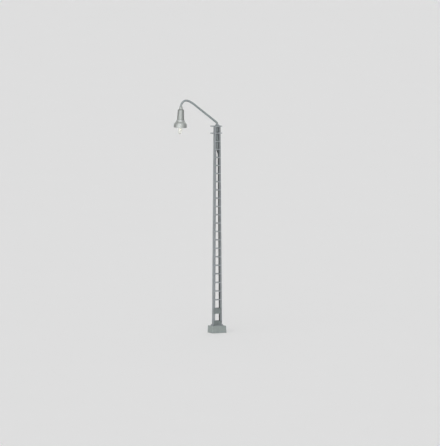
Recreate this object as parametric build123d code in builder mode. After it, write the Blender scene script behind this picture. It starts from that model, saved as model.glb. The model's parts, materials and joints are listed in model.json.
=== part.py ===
"""Lattice mast yard lamp for a 1:87 railway, in millimetres, +Z up.

The origin is on the mast's axis, at the foundation's underside. The arm points
towards -X, and the battened faces of the mast look along -Y (front) and +Y (rear).
"""

import os
from math import cos, hypot, radians, sin, tan

from build123d import *

# Foundation block, hollow from below, with a contact carrier in its mouth
foundation_length = 10.6
foundation_width = 8.4
foundation_height = 4.8
foundation_draft = 0.25  # how far each side leans in at the top
foundation_wall = 1.0
foundation_roof = 1.0
foundation_corner = 0.3
carrier_height = 2.0
contact_spacing = 5.0
contact_radius = 0.95
contact_bore_radius = 0.65
contact_height = 2.6
contact_bore_depth = 2.2

# Foot of the mast
foot_plate_length = 7.6
foot_plate_width = 4.2
foot_plate_thickness = 0.5
gusset_height = 2.9
gusset_inset = 0.4  # from a leg's outside to the gusset's end
anchor_radius = 0.18
anchor_head_radius = 0.32
anchor_head_height = 0.4
anchor_depth = 0.8
anchor_edge = 0.45  # from a bolt's axis to the foot plate's edge

# Legs: two rolled channels, open towards each other
mast_top = 140.4
mast_foot_width = 6.5
mast_top_width = 4.36
channel_depth = 2.2
channel_flange = 1.38
channel_wall = 0.4

# Plates across the legs, front and rear
plate_thickness = 0.25
tie_plate_level = 14.95
tie_plate_height = 3.9
tie_plate_inset = 0.35
batten_count = 20
batten_height = 0.68
batten_inset = 0.3
batten_first_gap = 7.55  # from the tie plate's level to the first batten
batten_last_gap = 5.6  # from the last batten to the lower clamp
batten_crowding = 0.04  # the lowest bay is this share over the mean bay, the top one under it

# Clamps that hold the arm's tube between the legs
cap_plate_thickness = 0.35
cap_plate_margin = 0.1
clamp_bar_height = 0.65
clamp_bar_thickness = 0.4
clamp_drop = 4.1  # from the mast's top down to the lower clamp
clamp_arm_side_reach = 2.1  # past the leg, on the arm's side
clamp_back_reach = 0.95
clamp_bolt_radius = 0.2
clamp_bolt_head_radius = 0.38
clamp_bolt_head_height = 0.3
clamp_bolt_offset = 0.5  # from the leg's outside to the bolt's axis
guide_length = 2.6
saddle_length = 1.2
ferrule_radius = 1.3
ferrule_height = 0.9

# Arm: one bent tube, with a long easy bend before the tight one over the lamp
tube_radius = 0.74
tube_bore_radius = 0.5
tube_tail = 14.4  # how far the tube reaches down below the mast's top
arm_bend_rise = 2.9  # from the mast's top up to the lower bend's corner
arm_reach = 26.35  # to where the arm's slope and the lamp's axis would cross
arm_rise = 20.3
arm_lower_bend = 1.8
arm_easy_turn = 17.0  # degrees
arm_easy_bend = 16.0
arm_upper_bend = 3.8
arm_bend_gap = 0.2  # straight, between the two upper bends
arm_stub = 0.23  # straight, from the last bend to the lamp's cap

# Lamp, in heights above the shade's rim along its own axis
lamp_lean = 2.3  # degrees, outwards going down
lamp_skin = 0.3
rim_radius = 4.52
shoulder_radius = 4.4
shoulder_height = 2.35
shade_top_margin = 0.42  # how far the shade's top stands out past the neck
shade_top_height = 4.7
shade_collar_height = 1.7
ring_height = 0.5
ring_margin = 0.25  # how far the ring stands out past the neck
neck_top_radius = 2.15
neck_height = 6.8
neck_wall = 0.35
cap_foot_radius = 1.85
cap_top_radius = 0.93
cap_height = 2.3
cap_spigot = 0.8
tube_end_below_cap = 1.0

# Bulb and its holder, in the lamp's heights
bulb_radius = 1.3
bulb_nose_radius = 0.7
bulb_tip_drop = 4.4
bulb_shoulder_height = 0.6
bulb_neck_height = 2.2
bulb_glass_wall = 0.15
bulb_cap_radius = 1.15
bulb_cap_wall = 0.15
bulb_cap_foot = 2.4
bulb_cap_length = 4.8
bulb_bead_height = 1.0
insulator_thickness = 0.3
insulator_radius = 0.9
tip_radius = 0.4
tip_height = 0.25
filament_radius = 0.06
filament_spread = 0.9
filament_reach = 1.4  # below the rim
shell_wall = 0.18
shell_foot = 4.9
shell_tab_width = 0.5
shell_tab_thickness = 0.16
holder_flange_thickness = 0.6
holder_foot_drop = 0.1  # below the shade's top
holder_roof = 1.0
holder_wall = 0.38
centre_contact_radius = 0.8
centre_contact_thickness = 0.2
centre_stud_radius = 0.45
stud_proud = 0.3  # how far the stud and the tab stand above the holder

# Leads
wire_radius = 0.21
wire_spacing = 0.45
wire_a_standoff = 0.39  # from the channel's web to the lead
wire_b_standoff = 0.74
wire_turn_drop = 1.5  # from the tube's lower end to the leads' turn
wire_cross_drop = 3.0
wire_bend = 2.0
wire_small_bend = 0.5
wire_floor_bend = 0.8
wire_lead_in = 0.7

# Clearances
slip = 0.03  # round anything that slides in when the lamp is put together
contact_gap = 0.02  # between things that only just touch
bulb_fit = 0.05

# Levels and places that follow from these
leg_foot = foundation_height + foot_plate_thickness
leg_height = mast_top - leg_foot
face_y = channel_depth / 2
lower_clamp_level = mast_top - clamp_drop
upper_clamp_level = mast_top + cap_plate_thickness + clamp_bar_height / 2
guide_top = mast_top + cap_plate_thickness + clamp_bar_height
tube_foot = mast_top - tube_tail
bend_level = mast_top + arm_bend_rise
wire_y = wire_spacing / 2

neck_foot = shade_top_height + ring_height
neck_top = neck_foot + neck_height
neck_bore_radius = neck_top_radius - neck_wall
collar_top = shade_top_height + shade_collar_height
tube_end = neck_top - tube_end_below_cap
bulb_cap_top = bulb_cap_foot + bulb_cap_length
tip_top = bulb_cap_top + insulator_thickness + tip_height
centre_contact_foot = tip_top + contact_gap
holder_ceiling = centre_contact_foot + centre_contact_thickness
holder_top = holder_ceiling + holder_roof
stud_top = holder_top + stud_proud
shell_bore_radius = bulb_cap_radius + bulb_fit
shell_radius = shell_bore_radius + shell_wall
holder_bore_radius = shell_radius + slip
holder_radius = holder_bore_radius + holder_wall
collar_radius = holder_radius + slip + lamp_skin
neck_foot_radius = collar_radius + slip + neck_wall
shade_top_radius = neck_foot_radius + shade_top_margin
ring_radius = neck_foot_radius + ring_margin
tab_y = -(shell_radius - shell_tab_thickness / 2)

lean = radians(lamp_lean)
lamp_up = Vector(sin(lean), 0, cos(lean))
lamp_side = Vector(cos(lean), 0, -sin(lean))
arm_slope = Vector(-arm_reach, 0, arm_rise)
arm_corner = Vector(0, 0, bend_level) + arm_slope
whole_turn = radians(arm_slope.get_angle(-lamp_up))
easy_turn = radians(arm_easy_turn)
tight_turn = whole_turn - easy_turn
easy_tangent = arm_easy_bend * tan(easy_turn / 2)
tight_tangent = arm_upper_bend * tan(tight_turn / 2)
bend_spacing = easy_tangent + arm_bend_gap + tight_tangent
tight_corner_drop = bend_spacing * sin(easy_turn) / sin(whole_turn)
easy_corner_back = bend_spacing * sin(tight_turn) / sin(whole_turn)
easy_corner = arm_corner - arm_slope.normalized() * easy_corner_back
tight_corner = arm_corner - lamp_up * tight_corner_drop
lamp_drop = tight_corner_drop + tight_tangent + arm_stub + cap_height + neck_top
rim_centre = arm_corner - lamp_up * lamp_drop
lamp_axis = Axis(rim_centre, lamp_up)
lamp_section = Plane(origin=rim_centre, x_dir=lamp_side, z_dir=(0, -1, 0))


def leg_half_width(level):
    """Half of the mast's outer width at this level."""
    share = (level - leg_foot) / leg_height
    return (mast_foot_width + (mast_top_width - mast_foot_width) * share) / 2


def lead_x(level, standoff):
    """Where a lead lies at this level, standing off the inside of the right channel's web."""
    return leg_half_width(level) - channel_wall - wire_radius - standoff


def lamp_level(height):
    """The plane across the lamp at this height above its rim."""
    return Plane(origin=rim_centre + lamp_up * height, x_dir=lamp_side, z_dir=lamp_up)


def lamp_point(side, depth, height):
    """The place at these distances from the lamp's axis and above its rim."""
    return rim_centre + lamp_side * side + Vector(0, depth, 0) + lamp_up * height


def batten_level(index):
    """The level of a batten; the bays grow a little shorter going up."""
    first = tie_plate_level + batten_first_gap
    last = lower_clamp_level - batten_last_gap
    bays = batten_count - 1
    mean_bay = (last - first) / bays
    crowding = batten_crowding * (index - index * (index - 1) / (bays - 1))
    return first + mean_bay * (index + crowding)


def save(piece, name):
    """Label a finished sub-part and write it to its own file."""
    piece.part.label = name
    export_step(piece.part, f"parts/{name}.step")


os.makedirs("parts", exist_ok=True)

anchor_x = foot_plate_length / 2 - anchor_edge
anchor_y = foot_plate_width / 2 - anchor_edge
lead_holes = [
    (lead_x(foundation_height, wire_a_standoff), -wire_y),
    (lead_x(foundation_height, wire_b_standoff), wire_y),
]

# Foundation
with BuildPart() as foundation:
    with BuildSketch():
        RectangleRounded(foundation_length, foundation_width, foundation_corner)
    with BuildSketch(Plane.XY.offset(foundation_height)):
        RectangleRounded(
            foundation_length - 2 * foundation_draft,
            foundation_width - 2 * foundation_draft,
            foundation_corner,
        )
    loft()
    with BuildSketch():
        Rectangle(foundation_length - 2 * foundation_wall, foundation_width - 2 * foundation_wall)
    extrude(amount=foundation_height - foundation_roof, mode=Mode.SUBTRACT)
    with BuildSketch(Plane.XY.offset(foundation_height)):
        with Locations(*lead_holes):
            Circle(wire_radius + slip)
    extrude(amount=-foundation_roof, mode=Mode.SUBTRACT)
    with BuildSketch(Plane.XY.offset(foundation_height)):
        with GridLocations(2 * anchor_x, 2 * anchor_y, 2, 2):
            Circle(anchor_radius + slip)
    extrude(amount=-anchor_depth, mode=Mode.SUBTRACT)
save(foundation, "foundation")

with BuildPart() as contact_carrier:
    with BuildSketch():
        Rectangle(
            foundation_length - 2 * (foundation_wall + slip),
            foundation_width - 2 * (foundation_wall + slip),
        )
        with GridLocations(contact_spacing, 0, 2, 1):
            Circle(contact_radius + slip, mode=Mode.SUBTRACT)
    extrude(amount=carrier_height)
save(contact_carrier, "contact_carrier")

for side, name in ((-1, "contact_tube_left"), (1, "contact_tube_right")):
    with BuildPart() as contact_tube:
        with BuildSketch():
            with Locations((side * contact_spacing / 2, 0)):
                Circle(contact_radius)
        extrude(amount=contact_height)
        with BuildSketch():
            with Locations((side * contact_spacing / 2, 0)):
                Circle(contact_bore_radius)
        extrude(amount=contact_bore_depth, mode=Mode.SUBTRACT)
    save(contact_tube, name)

# Foot of the mast
with BuildPart() as mast_foot_plate:
    with BuildSketch(Plane.XY.offset(foundation_height)):
        Rectangle(foot_plate_length, foot_plate_width)
        with Locations(*lead_holes):
            Circle(wire_radius + slip, mode=Mode.SUBTRACT)
        with GridLocations(2 * anchor_x, 2 * anchor_y, 2, 2):
            Circle(anchor_radius + slip, mode=Mode.SUBTRACT)
    extrude(amount=foot_plate_thickness)
save(mast_foot_plate, "mast_foot_plate")

with BuildPart() as anchor_bolts:
    with BuildSketch(Plane.XY.offset(leg_foot)):
        with GridLocations(2 * anchor_x, 2 * anchor_y, 2, 2):
            Circle(anchor_radius)
    extrude(amount=-(foot_plate_thickness + anchor_depth - slip))
    with BuildSketch(Plane.XY.offset(leg_foot)):
        with GridLocations(2 * anchor_x, 2 * anchor_y, 2, 2):
            RegularPolygon(anchor_head_radius, 6)
    extrude(amount=anchor_head_height)
save(anchor_bolts, "anchor_bolts")

for side, name in ((-1, "foot_gusset_front"), (1, "foot_gusset_rear")):
    foot_half = leg_half_width(leg_foot) - gusset_inset
    head_half = leg_half_width(leg_foot + gusset_height) - gusset_inset
    with BuildPart() as foot_gusset:
        with BuildSketch(Plane.XZ.offset(-side * face_y)):
            with BuildLine():
                Polyline(
                    (-foot_half, leg_foot),
                    (foot_half, leg_foot),
                    (head_half, leg_foot + gusset_height),
                    (-head_half, leg_foot + gusset_height),
                    close=True,
                )
            make_face()
        extrude(amount=-side * plate_thickness)
    save(foot_gusset, name)

# Legs
for side, name in ((-1, "left_channel"), (1, "right_channel")):
    outside = side * leg_half_width(leg_foot)
    shift = side * (mast_top_width - mast_foot_width) / 2
    with BuildPart() as channel:
        with BuildSketch(Plane.XY.offset(leg_foot)):
            with Locations((outside - side * channel_flange / 2, 0)):
                Rectangle(channel_flange, channel_depth)
            with Locations((outside - side * (channel_flange + channel_wall) / 2, 0)):
                Rectangle(
                    channel_flange - channel_wall,
                    channel_depth - 2 * channel_wall,
                    mode=Mode.SUBTRACT,
                )
        extrude(amount=hypot(shift, leg_height), dir=(shift, 0, leg_height))
    save(channel, name)

# Plates across the legs
plate_y = face_y + plate_thickness / 2
for side, name in ((-1, "tie_plate_front"), (1, "tie_plate_rear")):
    tie_plate_top = tie_plate_level + tie_plate_height / 2
    tie_plate_length = 2 * (leg_half_width(tie_plate_top) - tie_plate_inset)
    with BuildPart() as tie_plate:
        with Locations((0, side * plate_y, tie_plate_level)):
            Box(tie_plate_length, plate_thickness, tie_plate_height)
    save(tie_plate, name)

for index in range(batten_count):
    level = batten_level(index)
    batten_length = 2 * (leg_half_width(level) - batten_inset)
    with BuildPart() as batten_pair:
        with GridLocations(0, 2 * plate_y, 1, 2):
            with Locations((0, 0, level)):
                Box(batten_length, plate_thickness, batten_height)
    save(batten_pair, f"batten_pair_{index + 1:02d}")

# Head of the mast
top_half = leg_half_width(mast_top)
with BuildPart() as mast_cap_plate:
    with BuildSketch(Plane.XY.offset(mast_top)):
        Rectangle(
            2 * (top_half + cap_plate_margin),
            channel_depth + 2 * clamp_bar_thickness,
        )
        Circle(tube_radius + contact_gap, mode=Mode.SUBTRACT)
    extrude(amount=cap_plate_thickness)
save(mast_cap_plate, "mast_cap_plate")

for level, clamp in ((upper_clamp_level, "upper_clamp"), (lower_clamp_level, "lower_clamp")):
    leg_half = leg_half_width(lower_clamp_level)
    bolt_x = leg_half + clamp_bolt_offset
    arm_end = leg_half + clamp_arm_side_reach
    back_end = leg_half + clamp_back_reach
    grip = face_y + clamp_bar_thickness
    for side, face in ((-1, "front"), (1, "rear")):
        with BuildPart() as clamp_bar:
            with BuildSketch(Plane.XZ.offset(-side * face_y)):
                with Locations(((back_end - arm_end) / 2, level)):
                    Rectangle(arm_end + back_end, clamp_bar_height)
                with Locations((-bolt_x, level), (bolt_x, level)):
                    Circle(clamp_bolt_radius + slip, mode=Mode.SUBTRACT)
            extrude(amount=-side * clamp_bar_thickness)
        save(clamp_bar, f"{clamp}_{face}")

    with BuildPart() as clamp_bolts:
        with BuildSketch(Plane.XZ.offset(grip)):
            with Locations((-bolt_x, level), (bolt_x, level)):
                Circle(clamp_bolt_radius)
        extrude(amount=-(2 * grip + clamp_bolt_head_height))
        with BuildSketch(Plane.XZ.offset(grip)):
            with Locations((-bolt_x, level), (bolt_x, level)):
                RegularPolygon(clamp_bolt_head_radius, 6)
        extrude(amount=clamp_bolt_head_height)
    save(clamp_bolts, f"{clamp}_bolts")

    with BuildPart() as clamp_nuts:
        with BuildSketch(Plane.XZ.offset(-grip)):
            with Locations((-bolt_x, level), (bolt_x, level)):
                RegularPolygon(clamp_bolt_head_radius, 6)
            with Locations((-bolt_x, level), (bolt_x, level)):
                Circle(clamp_bolt_radius + contact_gap, mode=Mode.SUBTRACT)
        extrude(amount=-clamp_bolt_head_height)
    save(clamp_nuts, f"{clamp}_nuts")

with BuildPart() as upper_tube_guide:
    with BuildSketch(Plane.XY.offset(mast_top + cap_plate_thickness)):
        Rectangle(guide_length, channel_depth)
        Circle(tube_radius + contact_gap, mode=Mode.SUBTRACT)
    extrude(amount=clamp_bar_height)
save(upper_tube_guide, "upper_tube_guide")

with BuildPart() as lower_tube_saddles:
    with BuildSketch(Plane.XY.offset(lower_clamp_level - clamp_bar_height / 2)):
        Rectangle(saddle_length, channel_depth)
        Rectangle(saddle_length, tube_radius, mode=Mode.SUBTRACT)
        Circle(tube_radius + contact_gap, mode=Mode.SUBTRACT)
    extrude(amount=clamp_bar_height)
save(lower_tube_saddles, "lower_tube_saddles")

with BuildPart() as tube_ferrule:
    with BuildSketch(Plane.XY.offset(guide_top)):
        Circle(ferrule_radius)
        Circle(tube_radius + contact_gap, mode=Mode.SUBTRACT)
    extrude(amount=ferrule_height)
    chamfer(tube_ferrule.edges().group_by(Axis.Z)[-1].sort_by(SortBy.LENGTH)[-1], ferrule_height / 3)
save(tube_ferrule, "tube_ferrule")

# Arm
with BuildPart() as arm_tube:
    with BuildLine():
        FilletPolyline(
            (0, 0, tube_foot),
            (0, 0, bend_level),
            easy_corner,
            tight_corner,
            lamp_point(0, 0, tube_end),
            radius=[arm_lower_bend, arm_easy_bend, arm_upper_bend],
        )
    with BuildSketch(Plane.XY.offset(tube_foot)):
        Circle(tube_radius)
        Circle(tube_bore_radius, mode=Mode.SUBTRACT)
    sweep()
save(arm_tube, "arm_tube")

# Lamp
with BuildPart() as lamp_cap:
    with BuildSketch(lamp_section):
        with BuildLine():
            Polyline(
                (tube_radius + contact_gap, neck_top - cap_spigot),
                (neck_bore_radius - slip, neck_top - cap_spigot),
                (neck_bore_radius - slip, neck_top),
                (cap_foot_radius, neck_top),
                (cap_top_radius, neck_top + cap_height),
                (tube_radius + contact_gap, neck_top + cap_height),
                close=True,
            )
        make_face()
    revolve(axis=lamp_axis)
save(lamp_cap, "lamp_cap")

with BuildPart() as lamp_neck:
    with BuildSketch(lamp_section):
        with BuildLine():
            Polyline(
                (neck_foot_radius - neck_wall, neck_foot),
                (neck_foot_radius, neck_foot),
                (neck_top_radius, neck_top),
                (neck_bore_radius, neck_top),
                (neck_bore_radius, neck_top - cap_spigot - holder_flange_thickness),
                (neck_foot_radius - neck_wall, holder_top),
                close=True,
            )
        make_face()
    revolve(axis=lamp_axis)
save(lamp_neck, "lamp_neck")

with BuildPart() as retaining_ring:
    with BuildSketch(lamp_level(shade_top_height)):
        Circle(ring_radius)
        Circle(collar_radius + slip, mode=Mode.SUBTRACT)
    extrude(amount=ring_height)
save(retaining_ring, "retaining_ring")

with BuildPart() as shade:
    with BuildSketch(lamp_section):
        with BuildLine():
            Polyline(
                (rim_radius, 0),
                (shoulder_radius, shoulder_height),
                (shade_top_radius, shade_top_height),
                (collar_radius, shade_top_height),
                (collar_radius, collar_top),
                (collar_radius - lamp_skin, collar_top),
                (collar_radius - lamp_skin, shade_top_height - lamp_skin),
                (shade_top_radius - lamp_skin, shade_top_height - lamp_skin),
                (shoulder_radius - lamp_skin, shoulder_height - lamp_skin),
                (rim_radius - lamp_skin, 0),
                close=True,
            )
        make_face()
    revolve(axis=lamp_axis)
save(shade, "shade")

# Bulb holder
with BuildPart() as bulb_holder:
    with BuildSketch(lamp_section):
        with BuildLine():
            Polyline(
                (holder_bore_radius, shade_top_height - holder_foot_drop),
                (holder_radius, shade_top_height - holder_foot_drop),
                (holder_radius, collar_top),
                (collar_radius, collar_top),
                (collar_radius, collar_top + holder_flange_thickness),
                (holder_radius, collar_top + holder_flange_thickness),
                (holder_radius, holder_top),
                (0, holder_top),
                (0, holder_ceiling),
                (holder_bore_radius, holder_ceiling),
                close=True,
            )
        make_face()
    revolve(axis=lamp_axis)
    with BuildSketch(lamp_level(holder_ceiling)):
        Circle(centre_stud_radius + slip)
        with Locations((0, tab_y)):
            Rectangle(shell_tab_width + 2 * slip, shell_tab_thickness + 2 * slip)
    extrude(amount=holder_roof, mode=Mode.SUBTRACT)
save(bulb_holder, "bulb_holder")

with BuildPart() as shell_contact:
    with BuildSketch(lamp_level(shell_foot)):
        Circle(shell_radius)
        Circle(shell_bore_radius, mode=Mode.SUBTRACT)
    extrude(amount=bulb_cap_top - shell_foot)
    with BuildSketch(lamp_level(shell_foot)):
        with Locations((0, tab_y)):
            Rectangle(shell_tab_width, shell_tab_thickness)
        Circle(shell_bore_radius, mode=Mode.SUBTRACT)
    extrude(amount=stud_top - shell_foot)
save(shell_contact, "shell_contact")

with BuildPart() as centre_contact:
    with BuildSketch(lamp_level(centre_contact_foot)):
        Circle(centre_contact_radius)
    extrude(amount=centre_contact_thickness - contact_gap)
    with BuildSketch(lamp_level(centre_contact_foot)):
        Circle(centre_stud_radius)
    extrude(amount=stud_top - centre_contact_foot)
save(centre_contact, "centre_contact")

# Bulb
glass_neck_radius = bulb_cap_radius - bulb_cap_wall - contact_gap
glass_top = bulb_neck_height + bulb_bead_height
nose_centre = bulb_nose_radius - bulb_tip_drop
with BuildPart() as bulb_glass:
    with BuildSketch(lamp_section):
        for step, mode in ((0, Mode.ADD), (bulb_glass_wall, Mode.SUBTRACT)):
            with BuildLine():
                CenterArc((0, nose_centre), bulb_nose_radius - step, -90, 90)
                Polyline(
                    (bulb_nose_radius - step, nose_centre),
                    (bulb_radius - step, bulb_shoulder_height),
                    (glass_neck_radius - step, bulb_neck_height),
                    (glass_neck_radius - step, glass_top),
                    (0, glass_top),
                    (0, step - bulb_tip_drop),
                )
            make_face(mode=mode)
    revolve(axis=lamp_axis)
save(bulb_glass, "bulb_glass")

with BuildPart() as bulb_bead:
    with BuildSketch(lamp_level(bulb_neck_height)):
        Circle(glass_neck_radius - bulb_glass_wall - contact_gap)
    extrude(amount=bulb_bead_height)
save(bulb_bead, "bulb_bead")

with BuildPart() as bulb_filament:
    with BuildLine():
        Polyline(
            lamp_point(-filament_spread / 2, 0, bulb_neck_height),
            lamp_point(-filament_spread / 2, 0, -filament_reach),
            lamp_point(filament_spread / 2, 0, -filament_reach),
            lamp_point(filament_spread / 2, 0, bulb_neck_height),
        )
    with BuildSketch(lamp_level(bulb_neck_height)):
        with Locations((-filament_spread / 2, 0)):
            Circle(filament_radius)
    sweep(transition=Transition.RIGHT)
save(bulb_filament, "bulb_filament")

with BuildPart() as bulb_cap:
    with BuildSketch(lamp_level(bulb_cap_foot)):
        Circle(bulb_cap_radius)
    extrude(amount=bulb_cap_length)
    with BuildSketch(lamp_level(bulb_cap_foot)):
        Circle(bulb_cap_radius - bulb_cap_wall)
    extrude(amount=bulb_cap_length - bulb_cap_wall, mode=Mode.SUBTRACT)
save(bulb_cap, "bulb_cap")

with BuildPart() as bulb_insulator:
    with BuildSketch(lamp_level(bulb_cap_top)):
        Circle(insulator_radius)
    extrude(amount=insulator_thickness)
save(bulb_insulator, "bulb_insulator")

with BuildPart() as bulb_tip:
    with BuildSketch(lamp_level(bulb_cap_top + insulator_thickness)):
        Circle(tip_radius)
    extrude(amount=tip_height)
    fillet(bulb_tip.edges().filter_by(GeomType.CIRCLE).group_by(Axis.Z)[-1], tip_height / 2)
save(bulb_tip, "bulb_tip")

# Leads: side by side through the arm and down the right channel to the contacts
turn_level = tube_foot - wire_turn_drop
cross_level = turn_level - wire_cross_drop
floor_level = contact_height + contact_gap + wire_radius
tab_turn = stud_top + wire_lead_in
tube_turn = tab_turn + wire_lead_in


def lead_run(depth, standoff):
    """A lead's corners from the arm's last bend to the right channel."""
    return [
        tight_corner + Vector(0, depth, 0),
        easy_corner + Vector(0, depth, 0),
        (0, depth, bend_level),
        (0, depth, turn_level),
        (lead_x(cross_level, standoff), depth, cross_level),
    ]


shared_bends = [arm_upper_bend, arm_easy_bend, arm_lower_bend, wire_bend, wire_bend]

with BuildPart() as lead_wire_a:
    with BuildLine():
        FilletPolyline(
            lamp_point(0, tab_y, stud_top + contact_gap),
            lamp_point(0, tab_y, tab_turn),
            lamp_point(0, -wire_y, tube_turn),
            *lead_run(-wire_y, wire_a_standoff),
            (lead_x(contact_height, wire_a_standoff), -wire_y, contact_height + contact_gap),
            radius=[wire_small_bend, wire_small_bend, *shared_bends],
        )
    with BuildSketch(lamp_level(stud_top + contact_gap)):
        with Locations((0, tab_y)):
            Circle(wire_radius)
    sweep()
save(lead_wire_a, "lead_wire_a")

with BuildPart() as lead_wire_b:
    with BuildLine():
        FilletPolyline(
            lamp_point(0, wire_y, stud_top + contact_gap),
            *lead_run(wire_y, wire_b_standoff),
            (lead_x(floor_level, wire_b_standoff), wire_y, floor_level),
            (-contact_spacing / 2, wire_y, floor_level),
            radius=[*shared_bends, wire_floor_bend],
        )
    with BuildSketch(lamp_level(stud_top + contact_gap)):
        with Locations((0, wire_y)):
            Circle(wire_radius)
    sweep()
save(lead_wire_b, "lead_wire_b")
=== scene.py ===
"""Looks of a lattice mast yard lamp for a 1:87 railway, laid out as a Blender add-on.

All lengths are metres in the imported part's own frame: +Z up, the arm towards -X, the
battened faces of the mast along -Y and +Y. MM turns a size in millimetres into metres.
"""

import json
import math

import bmesh
import bpy
from mathutils import Matrix, Vector, noise


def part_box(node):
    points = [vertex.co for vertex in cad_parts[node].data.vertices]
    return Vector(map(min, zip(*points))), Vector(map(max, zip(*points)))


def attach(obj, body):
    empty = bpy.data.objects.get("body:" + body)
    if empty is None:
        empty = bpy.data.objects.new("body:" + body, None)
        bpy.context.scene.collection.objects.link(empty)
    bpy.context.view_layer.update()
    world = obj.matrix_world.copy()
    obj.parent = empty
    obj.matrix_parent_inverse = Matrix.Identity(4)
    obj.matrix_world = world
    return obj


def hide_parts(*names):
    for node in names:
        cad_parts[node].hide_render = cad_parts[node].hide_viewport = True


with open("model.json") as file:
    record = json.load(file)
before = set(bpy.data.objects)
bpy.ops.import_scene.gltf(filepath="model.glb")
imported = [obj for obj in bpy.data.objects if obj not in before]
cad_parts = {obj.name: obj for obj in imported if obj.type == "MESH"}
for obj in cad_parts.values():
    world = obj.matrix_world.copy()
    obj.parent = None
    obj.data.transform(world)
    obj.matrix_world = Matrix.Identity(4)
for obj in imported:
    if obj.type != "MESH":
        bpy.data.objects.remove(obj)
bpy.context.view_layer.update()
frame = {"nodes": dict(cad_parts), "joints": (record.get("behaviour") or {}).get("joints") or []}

bl_info = {
    "name": "Lattice mast yard lamp",
    "version": (1, 0, 0),
    "blender": (4, 5, 0),
    "location": "3D View > Sidebar > Yard lamp",
    "description": "Builds the finished pieces of a 1:87 lattice mast yard lamp round its packed frame",
    "category": "Object",
}

MM = 0.001

# Surfaces
FINE_SHARE = 0.35  # how much the fine grain counts beside the broad mottling
ROUGHNESS_SWING = 0.07  # how far the grain takes the roughness either way
HOLLOW_REACH = 1.5 * MM  # how near a wall has to be for the painted shade to darken a hollow

# Shapes, in millimetres and degrees
WELD = 0.001  # vertices nearer than this are one
TURNED_WELD = 0.0005  # the same for turned pieces and for a lead's cuts, which have finer steps
SHARP_TURN = 40  # an edge that turns by less keeps its shape
LEVEL_BAND = 0.02  # vertices this near a level count as on it
BEND_STEPS = 24  # rings of vertices round each bend of the arm
TUBE_OVAL = 0.04  # share by which the tube flattens where it bends most
TUBE_BORE = 0.68  # the tube's bore as a share of its outside
GUSSET_RIVET_INSET = 0.95  # from a gusset's end to its rivets
TIE_RIVET_INSET = 0.6
BATTEN_RIVET_INSET = 0.42

# Studio
FLOOR_LIFT = 0.215  # share of its own colour that the floor adds where it is seen directly
FLOOR_HALF = 20.0  # half the floor's width, in metres
FLOOR_GAP = 0.02 * MM  # from the foundation down to the floor
SOFT_WORLD = 0.22  # strength of the light from all round


def linear(hex_colour):
    """Turn an sRGB hex colour into linear red, green, blue and a full alpha."""
    channels = [int(hex_colour[place:place + 2], 16) / 255 for place in (1, 3, 5)]
    light = [c / 12.92 if c <= 0.04045 else ((c + 0.055) / 1.055) ** 2.4 for c in channels]
    return (*light, 1.0)


HOLLOW_SHADE_COLOUR = linear("#2A2D2F")  # painted shade in the corners and hollows of enamelled metal
SEAM_SHADE_COLOUR = linear("#4A4D4D")  # painted shade in the lamp's seams


def length_setting(name, description, millimetres, **limits):
    """A length that the user can change."""
    return bpy.props.FloatProperty(
        name=name, description=description, default=millimetres * MM, unit="LENGTH", **limits
    )


def angle_setting(name, description, degrees):
    """An angle that the user can change."""
    return bpy.props.FloatProperty(
        name=name, description=description, default=math.radians(degrees), subtype="ANGLE"
    )


def colour_setting(name, description, hex_colour):
    """A colour that the user can change."""
    return bpy.props.FloatVectorProperty(
        name=name, description=description, default=linear(hex_colour), size=4, subtype="COLOR"
    )


# Settings a user would change


class YardLampSizes(bpy.types.PropertyGroup):
    """Sizes of the finish that the frame does not hold."""

    edge_round: length_setting(
        "Edge rounding", "Radius that paint and tumbling leave on a sheet-metal edge", 0.06, min=0.0
    )
    block_round: length_setting(
        "Foundation edge", "Radius on the moulded foundation's edges", 0.14, min=0.0
    )
    rivet_radius: length_setting(
        "Rivet radius", "Radius of a rivet's head on the battens and plates", 0.15, min=0.0
    )
    rivet_height: length_setting("Rivet height", "How far a rivet's head stands out", 0.09, min=0.0)
    rim_bead: length_setting("Rim bead", "Radius of the bead rolled along the shade's rim", 0.17, min=0.0)
    easy_turn: angle_setting(
        "Easy turn", "How much of the arm's upper bend is in its long, gentle first part", 17
    )
    bend_gap: length_setting(
        "Bend gap", "Straight tube between the gentle and the tight part of the upper bend", 0.2, min=0.0
    )
    lead_drift: length_setting(
        "Lead drift", "How far the leads drift towards the channel's web halfway up the mast", 0.07, min=0.0
    )


class YardLampColours(bpy.types.PropertyGroup):
    """Colours of the paints, plastics and the lit bulb."""

    mast: colour_setting("Mast paint", "Grey enamel on the legs, battens and clamps", "#8A8F92")
    # painted shade: the foot's enamel is a darker grey than the mast's
    foot: colour_setting("Foot paint", "Darker grey enamel on the gussets and tie plates", "#757C7C")
    arm: colour_setting("Arm paint", "Grey enamel on the tube and its ferrule", "#939B9C")
    foundation: colour_setting("Foundation", "Grey of the moulded foundation block", "#8F9795")
    lamp: colour_setting("Lamp silver", "Silver paint on the cap, neck, ring and shade", "#8F9290")
    bulb_glow: colour_setting("Bulb glow", "Light of the lit bulb", "#F8FAD8")
    backdrop: colour_setting("Backdrop", "Pale grey behind the lamp and under it", "#DEDEDE")


class YardLampView(bpy.types.PropertyGroup):
    """The camera's place round the lamp."""

    azimuth: angle_setting("Azimuth", "Where the camera stands round the mast; 0 looks along +Y", -24)
    elevation: angle_setting("Elevation", "Height of the camera above the horizon", 5.5)
    distance: length_setting("Distance", "From the camera to the mast", 6000)
    view_height: length_setting("View height", "Height of the field of view at the mast", 303.3)
    aim_right: length_setting("Aim right", "How far right of the mast's axis the view's centre lies", 2.04)
    aim_height: length_setting("Aim height", "Level of the view's centre above the ground", 74.9)


class YardLampSettings(bpy.types.PropertyGroup):
    """Everything the operators read."""

    sizes: bpy.props.PointerProperty(type=YardLampSizes)
    colours: bpy.props.PointerProperty(type=YardLampColours)
    view: bpy.props.PointerProperty(type=YardLampView)


# Materials


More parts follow.
